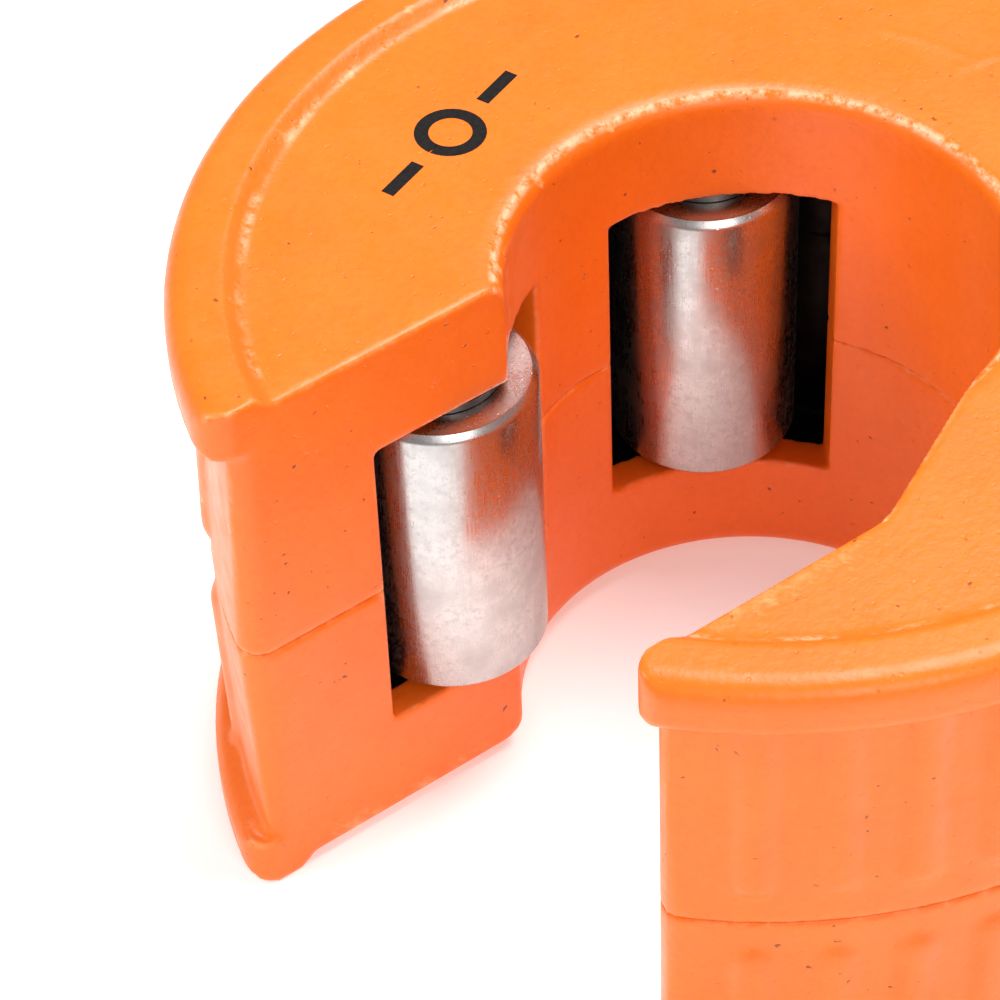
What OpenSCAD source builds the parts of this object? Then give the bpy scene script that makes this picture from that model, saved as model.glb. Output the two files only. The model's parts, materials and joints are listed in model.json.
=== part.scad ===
// Pipe cutter: a C-shaped die-cast housing that clips over a pipe and is turned round it by hand.
// Two rollers hold the pipe against a sprung cutting wheel in the right arm.
// Frame: +Z along the pipe axis, which is x = y = 0. The two shells meet at z = 0,
// and the mouth of the C opens towards -Y.

/* [Pipe and bore] */
// Outside radius of the pipe to be cut
pipe_r = 11; // [10.9:0.1:11.1]
// Radius of the bore wall that surrounds the pipe
bore_r = 12.6; // [12.4:0.1:12.8]
// Distance from the pipe axis to the left arm's flat end face
mouth_left = 6.5; // [6.3:0.1:6.7]
// Distance from the pipe axis to the right arm's flat mouth face
mouth_right = 17.3; // [17.1:0.1:17.5]
// Direction of the tangent cheek that leads from the mouth into the bore
cheek_angle = 26.2; // [25:0.1:27]

/* [Housing] */
// Radius of the gripped outer wall at the parting plane
wall_r = 28.3; // [28.1:0.1:28.6]
// Outer radius of the rim bead
rim_r = 29.3; // [29.2:0.1:29.6]
// Half of the height over the rim beads
half_h = 17.2; // [17:0.1:17.5]
// Depth of the flat faces below the rim beads
face_recess = 0.7; // [0.5:0.1:0.8]
// Radius at which the rim bead's inner slope meets the flat face
rim_inner_r = 25.4; // [25.2:0.1:25.6]
// Height of the projecting rim band
rim_band = 3.1; // [2.8:0.1:3.4]
// Draft of the outer wall in degrees
draft = 1.6; // [1.2:0.1:2]
// Thickness of the outer wall
outer_wall = 2.4; // [2.2:0.1:2.5]
// Thickness of the bore wall and of the mouth faces
inner_wall = 2.0; // [1.8:0.1:2.1]
// Radius that rounds the tips of both arms
tip_round = 1.5; // [1.4:0.1:1.7]

/* [Grip ribs] */
// Number of grip ribs round the outer wall
rib_count = 36; // [30:1:36]
// Angle between neighbouring ribs
rib_pitch = 8; // [7.6:0.1:8]
// Radius of a rib's rounded crown
rib_r = 1.6; // [1.4:0.1:1.7]
// How far a rib stands out from the wall
rib_height = 0.42; // [0.3:0.02:0.5]

/* [Rollers] */
// Radius of both rollers
roller_r = 5.1; // [5:0.05:5.1]
// Length of both rollers
roller_len = 18.5; // [18.3:0.1:18.5]
// Height of the roller windows
window_h = 19.6; // [19.6:0.1:19.8]
// Direction of the mouth roller seen from the pipe axis
mouth_roller_angle = 232; // [231.5:0.1:232.5]
// Direction of the rear roller seen from the pipe axis
rear_roller_angle = 151; // [150.5:0.1:151.5]
// Radius of the roller axles
roller_axle_r = 2; // [1.8:0.1:2]

/* [Cutter] */
// Direction of the cutting wheel seen from the pipe axis
cutter_angle = 11.5; // [11:0.1:12]
// Radius of the cutting edge
wheel_r = 5.8; // [5.7:0.1:5.8]
// Distance from the pipe axis to the cutting edge with the carriage at its stop
edge_rest = 10; // [9.9:0.1:10.1]
// Width of the wheel's hub
wheel_hub_w = 2.9; // [2.7:0.1:2.9]
// Radius of the wheel axle
wheel_axle_r = 1.5; // [1.4:0.1:1.5]
// Free travel of the carriage away from the pipe
travel = 3.2; // [3:0.1:3.2]
// Outer radius of the carriage springs
spring_r = 1.85; // [1.8:0.05:1.9]
// Radius of the spring wire
wire_r = 0.25; // [0.2:0.05:0.25]
// Working turns of each spring
spring_turns = 4; // [3.5:0.5:4.5]

/* [Hidden] */
$fn = 96;
eps = 0.01;
run_gap = 0.05;                          // radial or side clearance of what turns or slides
far = 60;                                // longer than anything that is cut away
seam = 0.06;                             // how far a flat runs inside the round wall that it leaves

// housing, measured up from the parting plane
face_z = half_h - face_recess;
roof_z = 13.6;
band_z = half_h - rim_band;
cavity_out = wall_r - outer_wall;
cavity_in = bore_r + inner_wall;
lip_r = 1.1;
rim_round = 1.2;
rim_slope = 0.9;
tip_clear = 0.15;                        // keeps a tip's round corner just outside the drafted wall
dark_line = 0.06;                        // chamfer-like step along the parting line

// rollers
roller_dist = pipe_r + roller_r;
roller_boss_r = 4;
boss_z = window_h / 2;
boss_rise = 0.15;
axle_seat_z = 12.8;
axle_len = 2 * axle_seat_z - 0.1;
washer_t = boss_z - roller_len / 2 - 0.1;
washer_r = 3.3;
window_far_angle = 205;
window_out_y = -19;
rear_window_half = 28.7;

// cutter, in a frame turned to cutter_angle: x points away from the pipe
wheel_x = edge_rest + wheel_r;
block_x = 17.4;
block_t = 3;
block_half_w = 7.2;
block_half_h = 10;
nose_half_w = 4.9;
nose_half_h = 4.2;
nose_set_back = 0.3;
slot_half = 1.8;
slot_half_w = wheel_r + 0.15;
guide_t = 1.5;
pocket_r = spring_r + 0.3;
pocket_depth = 1.6;
spring_z = 7.2;
plate_x = 24.9;
plate_t = 0.8;
plate_half_w = 4.4;
plate_half_h = 9.8;
peg_r = 1.15;
peg_len = 2.2;
wheel_washer_t = slot_half - wheel_hub_w / 2 - 0.08;
wheel_washer_r = 2.9;
edge_face = 0.12;
wheel_body_r = 3.4;

// screws and dowels: [radius, angle] from the pipe axis
SCREWS = [[23.9, 239], [22.2, 190], [22.2, 108], [22.2, 62], [22.9, 333]];
DOWELS = [[23.2, 131], [22.6, 41]];
screw_boss_r = 2.6;
screw_r = 1.25;
screw_hole_r = 1.28;
clear_hole_r = 1.4;
head_r = 2.25;
head_hole_r = 2.4;
head_t = 2;
head_floor_z = 12.6;
screw_reach = 10.5;
dowel_r = 1.2;
dowel_boss_r = 2.4;
dowel_half = 4;

function on_circle(r, a) = [r * cos(a), r * sin(a)];

module at_polar(r, a) {
    rotate([0, 0, a]) translate([r, 0, 0]) children();
}

// mirrors an upper-half shape to the lower half
module below() {
    mirror([0, 0, 1]) children();
}

// ---- housing, built as the upper half standing on the parting plane ----

// section of the solid ring, from the pipe axis out to the drafted wall and the rim bead
module ring_section() {
    wall_in = (band_z - 0.5) * tan(draft);
    polygon(concat(
        [[0, 0], [wall_r - dark_line, 0], [wall_r, dark_line], [wall_r - wall_in, band_z - 0.5]],
        [[rim_r - 0.4, band_z], [rim_r, band_z + 0.5]],
        [for (a = [0 : 15 : 90]) [rim_r - rim_round + rim_round * cos(a),
                                  half_h - rim_round + rim_round * sin(a)]],
        [[rim_inner_r + rim_slope, half_h], [rim_inner_r, face_z], [0, face_z]]
    ));
}

// outline of everything that is open between the arms: the bore itself is left to a cylinder
module mouth_outline() {
    start = on_circle(bore_r - seam, cheek_angle);
    drop = (mouth_right - start.x) / tan(cheek_angle);
    corner = [mouth_right, start.y - drop];
    soft = 4;
    reach = soft * tan(cheek_angle / 2);
    centre = [mouth_right - soft, corner.y - reach];
    polygon(concat(
        [[0, 0], [-mouth_left, -mouth_left], [-mouth_left, -far], [mouth_right, -far]],
        [for (i = [0 : 4]) centre + on_circle(soft, cheek_angle * i / 4)],
        [start]
    ));
}

module opening() {
    cylinder(r = bore_r, h = 2 * far, center = true);
    translate([0, 0, -far])
        linear_extrude(height = 2 * far)
            mouth_outline();
}

// rounded lip where the bore wall meets the flat face
module bore_lip() {
    steps = 4;
    rotate_extrude()
        polygon(concat(
            [[bore_r - 2, face_z + 1], [bore_r - 2, face_z - lip_r - 0.3]],
            [for (i = [0 : steps]) [bore_r + lip_r - lip_r * cos(90 * i / steps),
                                    face_z - lip_r + lip_r * sin(90 * i / steps)]],
            [[bore_r + lip_r, face_z + 1]]
        ));
}

// cuts the sharp vertical corner of one arm's tip back to a round one, at outer radius r
module tip_cut(r, face_x, z0, h) {
    side = sign(face_x);
    steps = 6;
    cx = face_x + side * tip_round;
    cy = -sqrt(pow(r - tip_round, 2) - pow(cx, 2));
    from = side < 0 ? 360 : 180;
    to = atan2(cy, cx) + 360;
    centre = [cx, cy];
    translate([0, 0, z0])
        linear_extrude(height = h)
            polygon(concat(
                [for (i = [0 : steps]) centre + on_circle(tip_round, from + (to - from) * i / steps)],
                [centre + on_circle(4 * tip_round, to), [face_x - side * tip_round, -rim_r - 4],
                 [face_x - side * tip_round, cy]]
            ));
}

module grip_rib(angle) {
    root_r = wall_r - rib_r + rib_height;
    foot_z = 1.3 + rib_r;
    rotate([0, 0, angle]) translate([root_r, 0, 0]) rotate([0, -draft, 0]) {
        translate([0, 0, foot_z])
            cylinder(r = rib_r, h = band_z - foot_z, $fn = 32);
        translate([0, 0, foot_z])
            sphere(r = rib_r, $fn = 32);
    }
}

module outer_form() {
    first = -39.5;
    difference() {
        union() {
            rotate_extrude($fn = 180)
                ring_section();
            for (i = [0 : rib_count - 1])
                grip_rib(first + i * rib_pitch);
        }
        for (x = [-mouth_left, mouth_right]) {
            tip_cut(wall_r + tip_clear, x, -1, band_z + 1);
            tip_cut(rim_r, x, band_z, far);
        }
    }
}

// hollow inside the walls, before bosses and guides are put back
module cavity() {
    difference() {
        translate([0, 0, -1])
            cylinder(r = cavity_out, h = roof_z + 1);
        translate([0, 0, -2])
            cylinder(r = cavity_in, h = roof_z + 4);
        mouth_wall();
    }
}

// the mouth outline grown by the wall thickness: it stays solid round the opening
module mouth_wall() {
    left = mouth_left + inner_wall;
    right = mouth_right + inner_wall;
    normal = on_circle(1, cheek_angle);
    start = normal * (cavity_in - seam);
    drop = (right - start.x) / tan(cheek_angle);
    translate([0, 0, -2])
        linear_extrude(height = roof_z + 4)
            polygon([[0, 0], [-left, -5], [-left, -far], [right, -far], [right, start.y - drop], start]);
}

module roller_boss(angle) {
    at_polar(roller_dist, angle) translate([0, 0, boss_z + boss_rise])
        cylinder(r = roller_boss_r, h = roof_z + 1 - boss_z - boss_rise);
}

module screw_bosses(r) {
    for (p = SCREWS)
        at_polar(p[0], p[1]) cylinder(r = r, h = roof_z + 1);
}

module dowel_bosses() {
    for (p = DOWELS)
        at_polar(p[0], p[1]) cylinder(r = dowel_boss_r, h = roof_z + 1);
}

// stop face, side guides and roof pad of the carriage
module carriage_guides() {
    depth = cavity_out + 0.4;
    rotate([0, 0, cutter_angle]) {
        for (s = [-1, 1])
            translate([block_x - 3, s * (block_half_w + run_gap + guide_t / 2) - guide_t / 2, 0])
                cube([depth - block_x + 3, guide_t, roof_z + 1]);
        translate([block_x - 4.5, -block_half_w - guide_t, 0])
            cube([4.5, 2 * (block_half_w + guide_t), roof_z + 1]);
        translate([block_x - 3, -block_half_w - guide_t, block_half_h + run_gap])
            cube([depth - block_x + 3, 2 * (block_half_w + guide_t), roof_z]);
    }
}

// room for the carriage's block, its nose in the cheek, the wheel and the plate
module carriage_room() {
    plate_back = plate_x + plate_t;
    rotate([0, 0, cutter_angle]) {
        translate([bore_r - 4, -nose_half_w - run_gap, -1])
            cube([block_x - bore_r + 4.5, 2 * (nose_half_w + run_gap), nose_half_h + run_gap + 1]);
        translate([block_x - 5, -wheel_r - 0.4, -1])
            cube([12, 2 * (wheel_r + 0.4), slot_half + 1]);
        translate([plate_x - 2, -plate_half_w - run_gap, -1])
            cube([plate_back + run_gap - plate_x + 2, 2 * (plate_half_w + run_gap), plate_half_h + run_gap + 1]);
    }
}

// the two roller windows through the bore wall and the left end face
module roller_windows() {
    near_out = on_circle(cavity_in + 0.5, window_far_angle);
    near_in = on_circle(bore_r - 1.5, window_far_angle);
    translate([0, 0, -1]) linear_extrude(height = window_h / 2 + 1) {
        polygon([
            [-mouth_left + 1, window_out_y],
            [-mouth_left - inner_wall - 0.5, window_out_y],
            near_out,
            near_in,
            [-mouth_left + 1, -6]
        ]);
        half_w = bore_r * sin(rear_window_half);
        rotate(rear_roller_angle - 1)
            translate([bore_r - 4, -half_w])
                square([cavity_in - bore_r + 5, 2 * half_w]);
    }
}

module half_shell() {
    difference() {
        union() {
            difference() {
                outer_form();
                cavity();
            }
            intersection() {
                union() {
                    roller_boss(mouth_roller_angle);
                    roller_boss(rear_roller_angle);
                    screw_bosses(screw_boss_r);
                    dowel_bosses();
                    carriage_guides();
                }
                cylinder(r = cavity_out + 0.2, h = roof_z + 0.5);
            }
        }
        opening();
        bore_lip();
        roller_windows();
        carriage_room();
        for (a = [mouth_roller_angle, rear_roller_angle])
            at_polar(roller_dist, a) translate([0, 0, boss_z - 1])
                cylinder(r = roller_axle_r, h = axle_seat_z - boss_z + 1);
        for (p = DOWELS)
            at_polar(p[0], p[1]) translate([0, 0, -1])
                cylinder(r = dowel_r, h = dowel_half + 1.2);
    }
}

module upper_shell() {
    color("orange") difference() {
        half_shell();
        for (p = SCREWS)
            at_polar(p[0], p[1]) translate([0, 0, -1])
                cylinder(r = screw_hole_r, h = screw_reach + 1.5);
    }
}

module lower_shell() {
    color("orange") below() difference() {
        half_shell();
        for (p = SCREWS)
            at_polar(p[0], p[1]) {
                translate([0, 0, -1])
                    cylinder(r = clear_hole_r, h = half_h + 2);
                translate([0, 0, head_floor_z])
                    cylinder(r = head_hole_r, h = half_h);
            }
    }
}

// ---- rollers ----

module roller(angle) {
    chamfer = 0.35;
    half = roller_len / 2;
    bore = roller_axle_r + run_gap;
    color("silver") at_polar(roller_dist, angle)
        rotate_extrude()
            polygon([
                [bore, -half], [roller_r - chamfer, -half], [roller_r, chamfer - half],
                [roller_r, half - chamfer], [roller_r - chamfer, half], [bore, half]
            ]);
}

module roller_axle(angle) {
    chamfer = 0.3;
    half = axle_len / 2;
    color("gainsboro") at_polar(roller_dist, angle)
        rotate_extrude()
            polygon([
                [0, -half], [roller_axle_r - chamfer, -half], [roller_axle_r - eps, chamfer - half],
                [roller_axle_r - eps, half - chamfer], [roller_axle_r - chamfer, half], [0, half]
            ]);
}

// thrust washer between a roller's end and the boss, on the upper (side = 1) or lower side
module roller_washer(angle, side) {
    z = side * (roller_len / 2 + run_gap + washer_t / 2);
    color("silver") translate([0, 0, z]) at_polar(roller_dist, angle) difference() {
        cylinder(r = washer_r, h = washer_t, center = true);
        cylinder(r = roller_axle_r + run_gap, h = 2, center = true);
    }
}

module mouth_roller() { roller(mouth_roller_angle); }
module rear_roller() { roller(rear_roller_angle); }
module mouth_roller_axle() { roller_axle(mouth_roller_angle); }
module rear_roller_axle() { roller_axle(rear_roller_angle); }
module mouth_roller_upper_washer() { roller_washer(mouth_roller_angle, 1); }
module mouth_roller_lower_washer() { roller_washer(mouth_roller_angle, -1); }
module rear_roller_upper_washer() { roller_washer(rear_roller_angle, 1); }
module rear_roller_lower_washer() { roller_washer(rear_roller_angle, -1); }

// ---- cutter ----

module cutter_frame() {
    rotate([0, 0, cutter_angle]) children();
}

// front of the nose, parallel with the cheek and a little behind it
module nose_outline() {
    lean = cheek_angle - cutter_angle;
    front = bore_r + nose_set_back;
    x_of = [for (y = [-nose_half_w, nose_half_w]) (front - y * sin(lean)) / cos(lean)];
    polygon([[x_of[0], -nose_half_w], [block_x + 1, -nose_half_w], [block_x + 1, nose_half_w], [x_of[1], nose_half_w]]);
}

module cutter_carriage() {
    color("slategray") cutter_frame() difference() {
        union() {
            translate([block_x, -block_half_w, -block_half_h])
                cube([block_t, 2 * block_half_w, 2 * block_half_h]);
            translate([0, 0, -nose_half_h])
                linear_extrude(height = 2 * nose_half_h)
                    nose_outline();
        }
        translate([5, -slot_half_w, -slot_half])
            cube([30, 2 * slot_half_w, 2 * slot_half]);
        translate([wheel_x, 0, 0])
            cylinder(r = wheel_axle_r, h = 4 * nose_half_h, center = true);
        for (s = [-1, 1])
            translate([block_x + block_t - pocket_depth, 0, s * spring_z]) rotate([0, 90, 0])
                cylinder(r = pocket_r, h = pocket_depth + 1);
    }
}

module cutter_wheel() {
    hub = wheel_hub_w / 2;
    color("lightgray") cutter_frame() translate([wheel_x, 0, 0])
        rotate_extrude()
            polygon([
                [wheel_axle_r + run_gap, -hub], [wheel_body_r - 0.3, -hub], [wheel_body_r, 0.3 - hub],
                [wheel_body_r + 0.2, -1], [wheel_r, -edge_face / 2], [wheel_r, edge_face / 2],
                [wheel_body_r + 0.2, 1], [wheel_body_r, hub - 0.3], [wheel_body_r - 0.3, hub],
                [wheel_axle_r + run_gap, hub]
            ]);
}

module cutter_wheel_axle() {
    color("gainsboro") cutter_frame() translate([wheel_x, 0, 0])
        cylinder(r = wheel_axle_r - eps, h = 2 * nose_half_h - 0.2, center = true);
}

module wheel_washer(side) {
    z = side * (wheel_hub_w / 2 + run_gap + wheel_washer_t / 2);
    color("silver") cutter_frame() translate([wheel_x, 0, z]) difference() {
        cylinder(r = wheel_washer_r, h = wheel_washer_t, center = true);
        cylinder(r = wheel_axle_r + run_gap, h = 2, center = true);
    }
}

module wheel_upper_washer() { wheel_washer(1); }
module wheel_lower_washer() { wheel_washer(-1); }

// points of one section of the spring wire after t turns, lying along +X
function wire_ring(t, length, sides) =
    let (coil_r = spring_r - wire_r, x = wire_r + (length - 2 * wire_r) * t / spring_turns)
    [for (k = [0 : sides - 1])
        let (a = 360 * k / sides, r = coil_r + wire_r * cos(a))
        [x + wire_r * sin(a), r * cos(360 * t), r * sin(360 * t)]];

module carriage_spring(side) {
    start_x = block_x + block_t - pocket_depth + 0.05;
    length = plate_x - start_x - 0.05;
    sides = 8;
    per_turn = 20;
    rings = spring_turns * per_turn;
    points = [for (i = [0 : rings]) each wire_ring(i / per_turn, length, sides)];
    skin = [for (i = [0 : rings - 1], k = [0 : sides - 1])
        let (a = i * sides + k, b = i * sides + (k + 1) % sides)
        [a, b, b + sides, a + sides]];
    ends = [[for (k = [sides - 1 : -1 : 0]) k], [for (k = [0 : sides - 1]) rings * sides + k]];
    color("darkgray") cutter_frame() translate([start_x, 0, side * spring_z])
        polyhedron(points = points, faces = concat(skin, ends));
}

module upper_carriage_spring() { carriage_spring(1); }
module lower_carriage_spring() { carriage_spring(-1); }

module spring_backing_plate() {
    color("dimgray") cutter_frame() {
        translate([plate_x, -plate_half_w, -plate_half_h])
            cube([plate_t, 2 * plate_half_w, 2 * plate_half_h]);
        for (s = [-1, 1])
            translate([plate_x - peg_len, 0, s * spring_z]) rotate([0, 90, 0])
                cylinder(r = peg_r, h = peg_len + plate_t / 2);
    }
}

// ---- fasteners ----

module screw() {
    cross_w = 0.7;
    cross_l = 3;
    cross_depth = 1.2;
    difference() {
        union() {
            translate([0, 0, -screw_reach])
                cylinder(r = screw_r, h = screw_reach + head_floor_z);
            translate([0, 0, head_floor_z])
                cylinder(r = head_r, h = head_t - 0.4);
            translate([0, 0, head_floor_z + head_t - 0.4])
                rotate_extrude()
                    polygon([[0, 0], [head_r, 0], [head_r - 0.4, 0.4], [0, 0.4]]);
        }
        for (a = [0, 90])
            rotate([0, 0, a]) translate([-cross_l / 2, -cross_w / 2, head_floor_z + head_t - cross_depth])
                cube([cross_l, cross_w, cross_depth + 1]);
    }
}

module housing_screws() {
    color("darkgray") below()
        for (p = SCREWS)
            at_polar(p[0], p[1]) screw();
}

module locating_dowels() {
    color("gainsboro")
        for (p = DOWELS)
            at_polar(p[0], p[1]) cylinder(r = dowel_r - eps, h = 2 * dowel_half, center = true);
}

upper_shell();
lower_shell();
mouth_roller();
rear_roller();
mouth_roller_axle();
rear_roller_axle();
mouth_roller_upper_washer();
mouth_roller_lower_washer();
rear_roller_upper_washer();
rear_roller_lower_washer();
cutter_carriage();
cutter_wheel();
cutter_wheel_axle();
wheel_upper_washer();
wheel_lower_washer();
upper_carriage_spring();
lower_carriage_spring();
spring_backing_plate();
housing_screws();
locating_dowels();
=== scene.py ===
"""A C-shaped pipe cutter: orange enamelled die casting, steel rollers, sprung cutting wheel."""
import json
from math import cos, pi, radians, sin
import bmesh
import bpy
from mathutils import Matrix, Vector


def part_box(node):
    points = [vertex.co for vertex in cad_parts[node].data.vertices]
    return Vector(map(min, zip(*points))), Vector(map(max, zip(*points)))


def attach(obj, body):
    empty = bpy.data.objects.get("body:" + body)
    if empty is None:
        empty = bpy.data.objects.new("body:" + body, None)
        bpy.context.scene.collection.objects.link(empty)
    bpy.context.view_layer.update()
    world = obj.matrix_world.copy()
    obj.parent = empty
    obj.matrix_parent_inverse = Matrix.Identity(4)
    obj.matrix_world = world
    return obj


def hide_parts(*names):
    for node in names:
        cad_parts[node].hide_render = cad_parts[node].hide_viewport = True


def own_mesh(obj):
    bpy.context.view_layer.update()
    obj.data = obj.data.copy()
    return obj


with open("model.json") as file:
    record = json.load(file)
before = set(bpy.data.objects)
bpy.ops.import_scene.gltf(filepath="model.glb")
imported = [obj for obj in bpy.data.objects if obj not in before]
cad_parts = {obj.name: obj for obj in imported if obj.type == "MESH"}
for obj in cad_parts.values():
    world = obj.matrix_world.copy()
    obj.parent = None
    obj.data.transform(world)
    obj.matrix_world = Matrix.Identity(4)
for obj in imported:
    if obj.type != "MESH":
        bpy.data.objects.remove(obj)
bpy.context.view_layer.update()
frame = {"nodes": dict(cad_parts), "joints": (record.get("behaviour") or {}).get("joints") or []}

MM = 0.001
UP = Vector((0, 0, 1))
# sizes of the housing, in mm
FACE_RECESS = 0.7       # depth of the flat faces below the rim beads
FACE_Z = 16.5           # height of the flat faces from the parting plane
BORE_R = 12.6           # radius of the bore wall
RIM_STEP_R = 25.4       # radius where the rim bead's inner slope meets the flat face
WELD = 0.002            # gap that is closed between a CAD mesh's own vertices
nodes = frame["nodes"]
joints = {joint["name"]: joint for joint in frame["joints"]}
slide_axis = Vector(joints["carriage_slide"]["axis"]).normalized()


# ---------------------------------------------------------------- materials

class Shader:
    """A node material with short calls for the nodes that the finishes share."""

    def __init__(self, name, **sockets):
        self.material = bpy.data.materials.new(name)
        self.material.use_nodes = True
        self.tree = self.material.node_tree
        self.bsdf = self.tree.nodes["Principled BSDF"]
        self.place = self.tree.nodes.new("ShaderNodeTexCoord").outputs["Object"]
        for socket, value in sockets.items():
            self.bsdf.inputs[socket.replace("_", " ")].default_value = value

    def node(self, kind, **inputs):
        """A new node of this kind, with a value or a link on each named input."""
        made = self.tree.nodes.new(kind)
        for socket, value in inputs.items():
            self.feed(made.inputs[socket.replace("_", " ")], value)
        return made

    def feed(self, socket, value):
        """Links an output to the socket, or sets its plain value."""
        if isinstance(value, bpy.types.NodeSocket):
            self.tree.links.new(value, socket)
        else:
            socket.default_value = value

    def stretched(self, scale):
        """The object's own coordinates, scaled per axis."""
        mapping = self.node("ShaderNodeMapping", Vector=self.place)
        mapping.inputs["Scale"].default_value = scale
        return mapping.outputs["Vector"]

    def noise(self, size_mm, detail=3.0, roughness=0.5, place=None):
        """Cloudy noise whose largest features are about size_mm across."""
        made = self.node("ShaderNodeTexNoise", Vector=place or self.place, Scale=1 / (size_mm * MM),
                         Detail=detail, Roughness=roughness)
        return made.outputs["Fac"]

    def ramp(self, value, low, high, start=0.0, end=1.0):
        """A straight ramp from start to end as value goes from low to high, flat outside."""
        made = self.node("ShaderNodeMapRange", Value=value)
        made.clamp = True
        made.inputs["From Min"].default_value = low
        made.inputs["From Max"].default_value = high
        made.inputs["To Min"].default_value = start
        made.inputs["To Max"].default_value = end
        return made.outputs["Result"]

    def mix(self, factor, first, second):
        """The first colour at factor 0, the second at factor 1."""
        made = self.tree.nodes.new("ShaderNodeMix")
        made.data_type = "RGBA"
        color_a, color_b, color_result = 6, 7, 2
        self.feed(made.inputs["Factor"], factor)
        self.feed(made.inputs[color_a], first)
        self.feed(made.inputs[color_b], second)
        return made.outputs[color_result]

    def math(self, operation, first, second):
        """One Math node on two values."""
        made = self.tree.nodes.new("ShaderNodeMath")
        made.operation = operation
        self.feed(made.inputs[0], first)
        self.feed(made.inputs[1], second)
        return made.outputs[0]

    def ring(self, inner_mm, outer_mm):
        """1 on a ring round the Z axis between the two radii, 0 away from it."""
        flat = self.node("ShaderNodeVectorMath", Vector=self.stretched((1, 1, 0)))
        flat.operation = "LENGTH"
        radius = self.math("DIVIDE", flat.outputs["Value"], MM)
        soft = 0.15
        rise = self.ramp(radius, inner_mm - soft, inner_mm + soft)
        return self.math("MULTIPLY", rise, self.ramp(radius, outer_mm - soft, outer_mm + soft, 1.0, 0.0))

    def above(self, height_mm):
        """1 where a point is further than height_mm from the parting plane, 0 below it."""
        split = self.node("ShaderNodeSeparateXYZ", Vector=self.place)
        height = self.math("DIVIDE", self.math("ABSOLUTE", split.outputs["Z"], 0.0), MM)
        soft = 0.1
        return self.ramp(height, height_mm - soft, height_mm + soft)

    def bump(self, height, depth_mm, strength=1.0, under=None):
        """A normal roughened by height, on top of the normal under it."""
        made = self.node("ShaderNodeBump", Height=height, Distance=depth_mm * MM, Strength=strength)
        if under is not None:
            self.feed(made.inputs["Normal"], under)
        return made.outputs["Normal"]

    def finish(self, color, roughness, normal=None):
        """Connects what is given to the surface, and gives the finished material."""
        for socket, value in (("Base Color", color), ("Roughness", roughness), ("Normal", normal)):
            if value is not None:
                self.feed(self.bsdf.inputs[socket], value)
        return self.material


def orange_enamel():
    """Baked enamel over a zinc casting: orange peel, pits, dust specks, thinly covered edges and rims
    where the paint is rubbing off, with painted highlights mixed into the pale edges, bore lip and rim
    step.
    """
    s = Shader("orange_enamel", Specular_IOR_Level=0.36, Coat_Weight=0.06, Coat_Roughness=0.25)
    orange = (0.93, 0.178, 0.008, 1)
    deep = (0.86, 0.15, 0.006, 1)
    # pale colour for the edges: partly thin enamel, partly painted highlight
    thin_paint_and_edge_highlight = (1.0, 0.47, 0.2, 1)
    # pale colour for the bore lip and rim step: partly rubbed enamel, partly painted highlight
    rubbed_paint_and_highlight = (1.0, 0.62, 0.38, 1)
    speck = (0.16, 0.035, 0.008, 1)
    cloud = s.math("MULTIPLY", s.ramp(s.noise(6, 4, 0.6), 0.35, 0.7), 0.6)
    grain = s.math("MULTIPLY", s.ramp(s.noise(0.45, 3, 0.6), 0.4, 0.7), 0.5)
    color = s.mix(s.math("ADD", cloud, grain), orange, deep)
    edge = s.tree.nodes.new("ShaderNodeNewGeometry").outputs["Pointiness"]
    # convex edges lightened by pointiness: partly worn, thin enamel, partly a painted highlight along
    # the edges
    edge_wear_and_highlight = s.math("MULTIPLY", s.ramp(edge, 0.515, 0.57), s.ramp(s.noise(1.3, 5, 0.68), 0.44, 0.62))
    color = s.mix(s.math("MULTIPLY", edge_wear_and_highlight, 0.75), color, thin_paint_and_edge_highlight)
    chips = s.ramp(s.noise(0.7, 6, 0.72), 0.42, 0.56)
    # a band round the bore lip and patches on the rim step, lightened partly as rubbed enamel and partly
    # as painted highlight
    lip = s.math("MULTIPLY", s.ring(BORE_R + 0.35, BORE_R + 0.65), s.above(FACE_Z - 0.5))
    patches = s.ramp(s.noise(4, 2, 0.5), 0.45, 0.6, 0.0, 0.6)
    step = s.math("MULTIPLY", s.ring(RIM_STEP_R - 0.1, RIM_STEP_R + 0.3), patches)
    rubbed_and_highlight = s.math("MAXIMUM", lip, s.math("MULTIPLY", step, s.above(FACE_Z - 0.1)))
    color = s.mix(s.math("MULTIPLY", s.math("MULTIPLY", rubbed_and_highlight, chips), 0.8), color, rubbed_paint_and_highlight)
    dots = s.ramp(s.noise(0.42, 1, 0.4), 0.735, 0.775)
    rare = s.ramp(s.noise(2.4, 2, 0.5), 0.5, 0.6)
    color = s.mix(s.math("MULTIPLY", s.math("MULTIPLY", dots, rare), 0.85), color, speck)
    roughness = s.ramp(s.noise(2.2, 4, 0.6), 0.3, 0.7, 0.3, 0.46)
    normal = s.bump(s.noise(0.5, 2, 0.5), 0.045, 0.7)
    normal = s.bump(s.noise(0.16, 3, 0.6), 0.012, 0.5, normal)
    pits = s.ramp(s.noise(0.42, 1, 0.4), 0.7, 0.78, 1.0, 0.0)
    return s.finish(color, roughness, s.bump(pits, 0.05, 0.5, normal))


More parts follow.
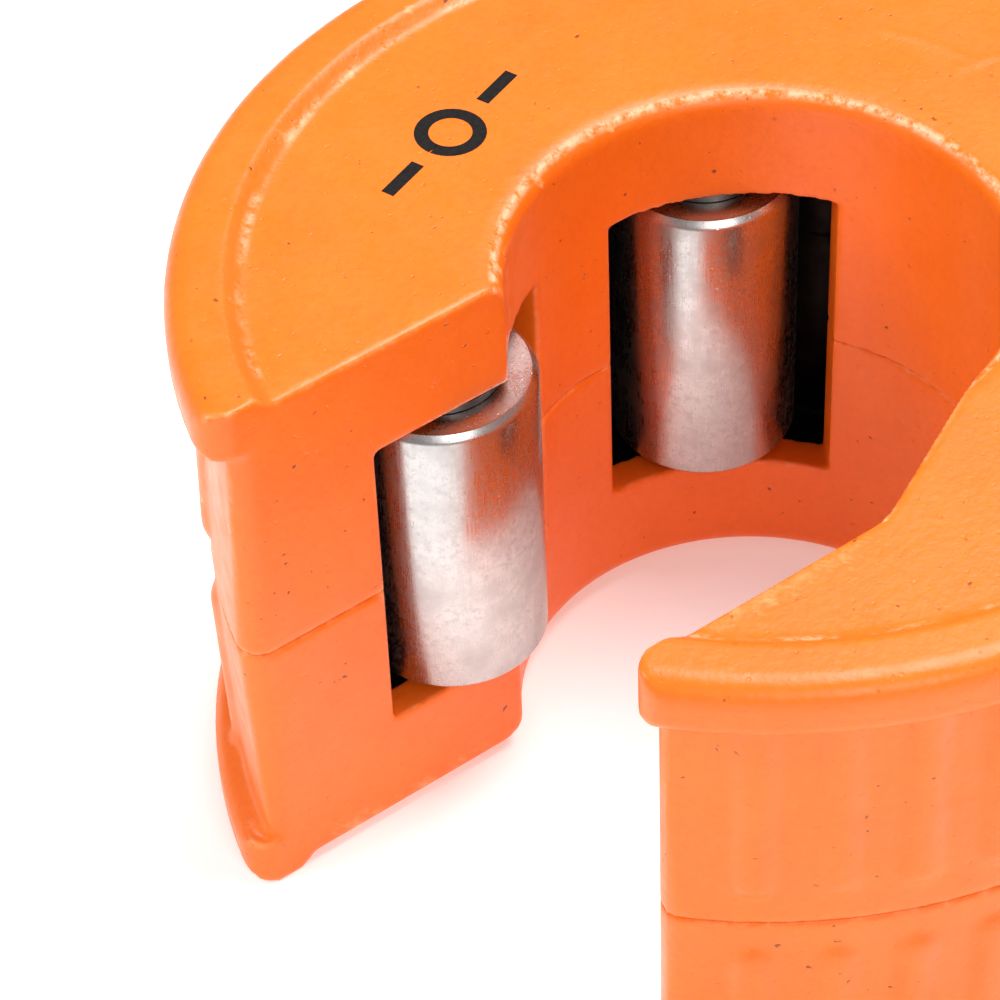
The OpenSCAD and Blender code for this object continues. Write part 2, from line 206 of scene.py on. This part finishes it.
def worn_steel(name, color, dark, rough, scratch=0.5):
    """Turned or ground steel with a stained skin, pits and fine random scratches along its axis."""
    s = Shader(name, Metallic=1.0, Anisotropic=0.25)
    stain = s.ramp(s.noise(3.2, 6, 0.68), 0.42, 0.72)
    fine = s.ramp(s.noise(0.5, 5, 0.7), 0.45, 0.75)
    tone = s.math("MULTIPLY", s.math("MAXIMUM", stain, fine), scratch)
    lines = s.noise(1, 4, 0.7, s.stretched((9, 9, 0.35)))
    marks = s.noise(1, 3, 0.7, s.stretched((1.1, 3.1, 6)))
    roughness = s.ramp(s.math("ADD", lines, tone), 0.3, 1.1, rough - 0.08, rough + 0.14)
    normal = s.bump(lines, 0.006, 0.35)
    normal = s.bump(marks, 0.004, 0.3, normal)
    pits = s.ramp(s.noise(0.22, 1, 0.4), 0.69, 0.78, 1.0, 0.0)
    return s.finish(s.mix(tone, color, dark), roughness, s.bump(pits, 0.02, 0.4, normal))


def plated(name, color, dark, rough):
    """Plated or drawn metal with a faint cloudy bloom."""
    s = Shader(name, Metallic=1.0)
    bloom = s.ramp(s.noise(1.4, 5, 0.65), 0.35, 0.75)
    roughness = s.ramp(s.noise(0.6, 4, 0.6), 0.3, 0.7, rough - 0.06, rough + 0.1)
    return s.finish(s.mix(bloom, color, dark), roughness, s.bump(s.noise(0.2, 3, 0.6), 0.006, 0.4))


def oiled_casting(name):
    """Dark, slightly oily sintered metal of the carriage and the spring plate."""
    s = Shader(name, Metallic=0.9)
    film = s.ramp(s.noise(1.8, 5, 0.6), 0.35, 0.7)
    roughness = s.ramp(s.noise(0.9, 4, 0.6), 0.3, 0.7, 0.3, 0.55)
    color = s.mix(film, (0.13, 0.125, 0.12, 1), (0.055, 0.052, 0.05, 1))
    return s.finish(color, roughness, s.bump(s.noise(0.18, 3, 0.6), 0.02, 0.5))


def painted_shade_hollow():
    """The unpainted zinc of the hollow behind the walls, coloured near black as painted shade where
    little light reaches in.
    """
    s = Shader("painted_shade_hollow", Metallic=0.6, Specular_IOR_Level=0.3)
    shade_mottle = s.ramp(s.noise(2.5, 5, 0.62), 0.3, 0.7)
    roughness = s.ramp(s.noise(1.2, 4, 0.6), 0.3, 0.7, 0.45, 0.7)
    color = s.mix(shade_mottle, (0.05, 0.045, 0.042, 1), (0.018, 0.015, 0.013, 1))
    return s.finish(color, roughness, s.bump(s.noise(0.4, 3, 0.6), 0.03, 0.5))


def black_print():
    """Pad-printed ink: matt, with the enamel's grain showing through."""
    s = Shader("black_print", Specular_IOR_Level=0.12)
    fade = s.ramp(s.noise(0.3, 4, 0.7), 0.35, 0.8)
    roughness = s.ramp(s.noise(0.5, 3, 0.6), 0.3, 0.7, 0.5, 0.72)
    color = s.mix(fade, (0.006, 0.006, 0.006, 1), (0.02, 0.014, 0.012, 1))
    return s.finish(color, roughness, s.bump(s.noise(0.3, 2, 0.5), 0.01, 0.4))


def pale_floor():
    """Matt white paper that glows a little, so that it stays pale beside the orange."""
    s = Shader("pale_floor", Specular_IOR_Level=0.1, Emission_Color=(1, 1, 1, 1), Emission_Strength=0.3)
    shade = s.ramp(s.noise(60, 2, 0.5), 0.3, 0.7)
    return s.finish(s.mix(shade, (0.93, 0.93, 0.93, 1), (0.9, 0.9, 0.9, 1)), 0.9)


ENAMEL = orange_enamel()
ROLLER = worn_steel("roller_steel", (0.57, 0.54, 0.525, 1), (0.28, 0.265, 0.255, 1), 0.26)
PIN = worn_steel("pin_steel", (0.62, 0.61, 0.6, 1), (0.4, 0.39, 0.38, 1), 0.24, 0.35)
BLADE = worn_steel("blade_steel", (0.72, 0.72, 0.73, 1), (0.45, 0.45, 0.46, 1), 0.16, 0.3)
# the washers' dark colour is painted shade, for the shaded gap above the rollers where they sit
WASHER = plated("washer_steel", (0.2, 0.18, 0.17, 1), (0.07, 0.06, 0.055, 1), 0.42)
WIRE = plated("spring_wire", (0.5, 0.49, 0.48, 1), (0.28, 0.27, 0.26, 1), 0.3)
ZINC = plated("screw_zinc", (0.55, 0.56, 0.58, 1), (0.38, 0.38, 0.39, 1), 0.3)
OILED = oiled_casting("oiled_casting")
# near-black painted shade for the hollow inside the shells
HOLLOW_SHADE = painted_shade_hollow()
INK = black_print()


# ---------------------------------------------------------------- mesh helpers

def new_object(name, mesh, material):
    """An object in the scene with this mesh and one material."""
    piece = bpy.data.objects.new(name, mesh)
    bpy.context.scene.collection.objects.link(piece)
    mesh.materials.clear()
    mesh.materials.append(material)
    return piece


def shade_smooth(mesh, angle=35):
    """Smooth shading, but for edges sharper than angle in degrees."""
    for polygon in mesh.polygons:
        polygon.use_smooth = True
    mesh.set_sharp_from_angle(angle=radians(angle))


def lathe(name, profile, centre, material, segments=192):
    """A closed ring turned about +Z from (radius, height) points in mm, going once round the section."""
    bm = bmesh.new()
    rings = []
    for radius, height in profile:
        turn = [2 * pi * k / segments for k in range(segments)]
        rings.append([bm.verts.new((centre[0] + radius * MM * cos(a), centre[1] + radius * MM * sin(a),
                                    centre[2] + height * MM)) for a in turn])
    for i, ring in enumerate(rings):
        above = rings[(i + 1) % len(rings)]
        for k in range(segments):
            after = (k + 1) % segments
            bm.faces.new((ring[k], ring[after], above[after], above[k]))
    bmesh.ops.recalc_face_normals(bm, faces=bm.faces)
    mesh = bpy.data.meshes.new(name)
    bm.to_mesh(mesh)
    bm.free()
    shade_smooth(mesh)
    return new_object(name, mesh, material)


def tube(name, points, radius, material, sides=14):
    """A closed round wire along points, in metres."""
    bm = bmesh.new()
    rings = []
    last = len(points) - 1
    for i, point in enumerate(points):
        along = (points[min(i + 1, last)] - points[max(i - 1, 0)]).normalized()
        across = along.cross(UP if abs(along.z) < 0.9 else Vector((1, 0, 0))).normalized()
        other = along.cross(across)
        turn = [2 * pi * k / sides for k in range(sides)]
        rings.append([bm.verts.new(point + radius * (across * cos(a) + other * sin(a))) for a in turn])
    for low, high in zip(rings, rings[1:]):
        for k in range(sides):
            bm.faces.new((low[k], low[(k + 1) % sides], high[(k + 1) % sides], high[k]))
    bm.faces.new(rings[0])
    bm.faces.new(rings[-1])
    bmesh.ops.recalc_face_normals(bm, faces=bm.faces)
    mesh = bpy.data.meshes.new(name)
    bm.to_mesh(mesh)
    bm.free()
    shade_smooth(mesh, 50)
    return new_object(name, mesh, material)


def apply_modifiers(piece):
    """Bakes the piece's modifiers into a new mesh, and gives that mesh."""
    evaluated = piece.evaluated_get(bpy.context.evaluated_depsgraph_get())
    baked = bpy.data.meshes.new_from_object(evaluated)
    piece.modifiers.clear()
    piece.data = baked
    return baked


# ---------------------------------------------------------------- housing

CAST_VOXEL = 0.2    # mm
CAST_ROUNDING = 5                           # passes of smoothing, which round the edges
# limits of the hollow, in mm: just past its walls and roof, and its X limits beside the mouth
HOLLOW_FROM = 14.75
HOLLOW_TO = 25.95
HOLLOW_HALF = 13.7
MOUTH_LEFT_BACK = -8.55
MOUTH_RIGHT_BACK = 19.35


def in_hollow(point):
    """True for a point of a shell, in metres, that lies on the hollow's own walls."""
    x, y, z = point.x / MM, point.y / MM, abs(point.z / MM)
    behind_mouth = y > 0 or x < MOUTH_LEFT_BACK or x > MOUTH_RIGHT_BACK
    return behind_mouth and z < HOLLOW_HALF and HOLLOW_FROM < (x * x + y * y) ** 0.5 < HOLLOW_TO


def turning_arrow(top):
    """The faint raised arrow line cast into the upper face, which shows the way the tool turns."""
    sunk = 0.2
    line = [(19.0, a) for a in range(122, 104, -1)] + [(19.5, 104.2), (20.0, 103.2)]
    barb = [(17.8, 106.5), (18.6, 104.8), (19.4, 103.4)]
    tubes = []
    for name, places, thick in (("arrow_line", line, 0.3), ("arrow_barb", barb, 0.28)):
        points = [Vector((r * cos(radians(a)), r * sin(radians(a)), top - sunk)) * MM for r, a in places]
        tubes.append(tube(name, points, thick * MM, ENAMEL))
    return tubes


def join_into(mesh, pieces):
    """Adds the pieces' meshes to mesh and removes the pieces."""
    bm = bmesh.new()
    bm.from_mesh(mesh)
    for piece in pieces:
        bm.from_mesh(piece.data)
        bpy.data.objects.remove(piece)
    bm.to_mesh(mesh)
    bm.free()


def cast_shell(node):
    """The shell as a thickly painted casting: every sharp edge comes out softly rounded."""
    mesh = nodes[node].data.copy()
    if node == "upper_shell":
        join_into(mesh, turning_arrow(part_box(node)[1].z / MM - FACE_RECESS))
    piece = new_object("cast_" + node, mesh, ENAMEL)
    weld = piece.modifiers.new("weld", "WELD")
    weld.merge_threshold = WELD * MM
    remesh = piece.modifiers.new("skin", "REMESH")
    remesh.mode = "VOXEL"
    remesh.voxel_size = CAST_VOXEL * MM
    soften = piece.modifiers.new("soften", "SMOOTH")
    soften.factor = 0.5
    soften.iterations = CAST_ROUNDING
    mesh = apply_modifiers(piece)
    mesh.materials.clear()
    mesh.materials.append(ENAMEL)
    # the second material, near black, is painted shade on the hollow's walls
    mesh.materials.append(HOLLOW_SHADE)
    for polygon in mesh.polygons:
        polygon.use_smooth = True
        polygon.material_index = 1 if in_hollow(polygon.center) else 0
    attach(piece, "housing")
    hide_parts(node)


# ---------------------------------------------------------------- turned parts

def facing_marks(half, inner, outer, side):
    """Concentric tool marks of a turned end face, from inner to outer radius."""
    depth = 0.018
    pitch = 0.17
    count = int((outer - inner) / pitch)
    return [(inner + (outer - inner) * i / count, side * (half - (depth if i % 2 else 0)))
            for i in range(count + 1)]


def turned_roller(name, body):
    """A parted-off steel roller: ringed end faces and a small bright chamfer."""
    low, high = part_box(name)
    centre = (low + high) / 2
    radius = (high.x - low.x) / 2 / MM
    half = (high.z - low.z) / 2 / MM
    bore = 2.05
    chamfer = 0.35
    flat = radius - chamfer
    bore_edge = 0.2
    marks_from, marks_to = bore + 0.3, flat - 0.15
    top = facing_marks(half, marks_from, marks_to, 1)
    bottom = facing_marks(half, marks_from, marks_to, -1)
    side = [(flat, half), (radius - 0.1, half - chamfer + 0.08), (radius, half - chamfer - 0.12)]
    profile = [(bore, half - bore_edge)] + top + side
    profile += [(r, -z) for r, z in reversed(side)] + list(reversed(bottom)) + [(bore, bore_edge - half)]
    piece = lathe("turned_" + name, profile, centre, ROLLER)
    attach(piece, body)
    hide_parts(name)


def ground_wheel():
    """The cutting wheel: a hub, a hollow-ground taper and a keen edge."""
    low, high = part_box("cutter_wheel")
    centre = (low + high) / 2
    edge = (high.x - low.x) / 2 / MM
    hub = (high.z - low.z) / 2 / MM
    bore = 1.55
    bore_edge = 0.15
    hub_r = 3.4
    hub_edge = 0.25
    taper_r = hub_r + 0.2
    taper_steps = 10
    hollow_grind = 1.25
    edge_half = 0.02
    upper = [(bore, hub - bore_edge), (bore + bore_edge, hub),
             (hub_r - hub_edge, hub), (hub_r, hub - hub_edge)]
    for i in range(taper_steps + 1):
        t = i / taper_steps
        upper.append((taper_r + (edge - taper_r) * t, (1 - t) ** hollow_grind + edge_half))
    profile = upper + [(r, -z) for r, z in reversed(upper)]
    piece = lathe("ground_cutter_wheel", profile, centre, BLADE)
    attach(piece, "cutter_wheel")
    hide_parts("cutter_wheel")


# ---------------------------------------------------------------- springs

def coil_spring(node):
    """A compression spring with closed ends, built at the one length that its CAD node gives."""
    low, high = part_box(node)
    centre = (low + high) / 2
    wire_r = 0.25 * MM
    radius = (high.z - low.z) / 2 - wire_r
    across = slide_axis.cross(UP)
    # the node's box holds a leaning cylinder, and this is the cylinder's own length
    lean = Vector((abs(slide_axis.x), abs(slide_axis.y), 0))
    length = (high - low).dot(lean) - 2 * (high.z - low.z) * lean.x * lean.y
    start = centre - slide_axis * (length / 2 - wire_r)
    free = length - 2 * wire_r
    dead_turns = 0.8                # closed turns at each end
    turns = 5.0
    per_turn = 40
    dead = 2 * wire_r * 1.02        # length that each end's closed turns take up
    points = []
    for i in range(int(turns * per_turn) + 1):
        t = i / per_turn
        if t < dead_turns:
            x = dead * t
        elif t > turns - dead_turns:
            x = free - dead * (turns - t)
        else:
            x = dead + (free - 2 * dead) * (t - dead_turns) / (turns - 2 * dead_turns)
        angle = 2 * pi * t
        points.append(start + slide_axis * x + radius * (across * cos(angle) + UP * sin(angle)))
    piece = tube("coil_" + node, points, wire_r, WIRE)
    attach(piece, "housing")
    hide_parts(node)
    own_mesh(piece)


# ---------------------------------------------------------------- printed symbol

def stroke(points, width, height, base, right, up):
    """A flat ribbon of even width along points given in (right, up) mm, as vertices and faces."""
    verts = []
    last = len(points) - 1
    for i, point in enumerate(points):
        before = Vector(points[max(i - 1, 0)])
        after = Vector(points[min(i + 1, last)])
        along = (after - before).normalized()
        normal = Vector((-along.y, along.x))
        for side in (0.5, -0.5):
            flat = Vector(point) + normal * width * side
            for lift in (0, height):
                verts.append(base + (right * flat.x + up * flat.y) * MM + Vector((0, 0, lift * MM)))
    faces = []
    for i in range(last):
        a, b = 4 * i, 4 * (i + 1)
        faces += [(a, b, b + 1, a + 1), (a + 2, a + 3, b + 3, b + 2), (a + 1, b + 1, b + 3, a + 3),
                  (a, a + 2, b + 2, b)]
    faces += [(0, 1, 3, 2), (4 * last, 4 * last + 2, 4 * last + 3, 4 * last + 1)]
    return verts, faces


def pipe_symbol():
    """A plain printed symbol on the upper face: a pipe seen end on, with its centre line either side."""
    direction = radians(199.4)
    from_axis = 18.4
    weight = 0.74
    ink = 0.035
    sunk = 0.02
    out = Vector((cos(direction), sin(direction), 0))
    up = -out
    right = Vector((-sin(direction), cos(direction), 0))
    face_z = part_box("upper_shell")[1].z - FACE_RECESS * MM
    base = out * from_axis * MM + Vector((0, 0, face_z - sunk * MM))
    pipe_r = 1.5
    dash_from, dash_to = 2.9, 5.6
    pipe = [(pipe_r * cos(radians(a)), pipe_r * sin(radians(a))) for a in range(0, 361, 10)]
    dashes = [[(side * dash_from, 0), (side * dash_to, 0)] for side in (-1, 1)]
    bm = bmesh.new()
    for points in [pipe] + dashes:
        verts, faces = stroke(points, weight, ink, base, right, up)
        made = [bm.verts.new(v) for v in verts]
        for face in faces:
            bm.faces.new([made[i] for i in face])
    bmesh.ops.recalc_face_normals(bm, faces=bm.faces)
    mesh = bpy.data.meshes.new("pipe_symbol")
    bm.to_mesh(mesh)
    bm.free()
    piece = new_object("pipe_symbol", mesh, INK)
    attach(piece, "housing")


# ---------------------------------------------------------------- CAD parts that keep their shape

def dress(node, material, edge_mm=0.0):
    """Gives a CAD node its finish, and breaks its sharp edges with modifiers."""
    piece = nodes[node]
    piece.data.materials.clear()
    piece.data.materials.append(material)
    if edge_mm:
        weld = piece.modifiers.new("weld", "WELD")
        weld.merge_threshold = WELD * MM
        bevel = piece.modifiers.new("edges", "BEVEL")
        bevel.width = edge_mm * MM
        bevel.segments = 2
        bevel.limit_method = "ANGLE"
        bevel.angle_limit = radians(40)


def dress_all():
    """The CAD nodes that keep their own shape."""
    for node in ("mouth_roller_axle", "rear_roller_axle", "cutter_wheel_axle", "locating_dowels"):
        dress(node, PIN)
    for node in nodes:
        if node.endswith("washer"):
            dress(node, WASHER)
    dress("cutter_carriage", OILED, 0.15)
    dress("spring_backing_plate", OILED, 0.1)
    dress("housing_screws", ZINC)


# ---------------------------------------------------------------- studio

def look_along(target, azimuth, elevation, distance, roll=0.0):
    """World matrix of something at distance from target, looking at it and rolled about its view."""
    a, e = radians(azimuth), radians(elevation)
    away = Vector((cos(a) * cos(e), sin(a) * cos(e), sin(e)))
    turn = away.to_track_quat("Z", "Y").to_matrix().to_4x4()
    return Matrix.Translation(target + away * distance) @ turn @ Matrix.Rotation(radians(roll), 4, "Z")


LIGHT_DISTANCE = 0.6
CAMERA_TARGET = (-8.1, -10.53, 0.03)        # mm
CAMERA_AZIMUTH, CAMERA_ELEVATION, CAMERA_ROLL = -34.85, 45.1, -2.63
CAMERA_DISTANCE = 207.96                    # mm


def camera():
    """The camera near the left arm's tip, looking down into the mouth and the bore."""
    data = bpy.data.cameras.new("camera")
    data.sensor_width = 36
    data.lens = 144
    data.clip_start = 0.01
    made = bpy.data.objects.new("camera", data)
    bpy.context.scene.collection.objects.link(made)
    made.matrix_world = look_along(Vector(CAMERA_TARGET) * MM, CAMERA_AZIMUTH, CAMERA_ELEVATION,
                                   CAMERA_DISTANCE * MM, CAMERA_ROLL)
    bpy.context.scene.camera = made


def softbox(name, azimuth, elevation, size, power):
    """A round soft light that looks at the pipe axis."""
    data = bpy.data.lights.new(name, "AREA")
    data.shape = "DISK"
    data.size = size
    data.energy = power
    made = bpy.data.objects.new(name, data)
    bpy.context.scene.collection.objects.link(made)
    made.matrix_world = look_along(Vector((0, 0, 0)), azimuth, elevation, LIGHT_DISTANCE)


def studio():
    """An even white surround, three soft lights and the floor that the lower rim stands on."""
    world = bpy.data.worlds.new("studio")
    world.use_nodes = True
    background = world.node_tree.nodes["Background"]
    background.inputs["Color"].default_value = (1, 1, 1, 1)
    background.inputs["Strength"].default_value = 0.35
    bpy.context.scene.world = world
    bpy.context.scene.view_settings.view_transform = "Standard"
    softbox("overhead", 100, 68, 0.4, 4.2)
    softbox("front_left", -120, 40, 0.3, 1.5)
    softbox("front_right", -20, 35, 0.3, 1.1)
    half = 3.0
    floor_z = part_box("lower_shell")[0].z
    mesh = bpy.data.meshes.new("floor")
    corners = [(x * half, y * half, floor_z) for x, y in ((-1, -1), (1, -1), (1, 1), (-1, 1))]
    mesh.from_pydata(corners, [], [(0, 1, 2, 3)])
    floor = new_object("floor", mesh, pale_floor())


cast_shell("upper_shell")
cast_shell("lower_shell")
turned_roller("mouth_roller", "mouth_roller")
turned_roller("rear_roller", "rear_roller")
ground_wheel()
coil_spring("upper_carriage_spring")
coil_spring("lower_carriage_spring")
pipe_symbol()
dress_all()
camera()
studio()
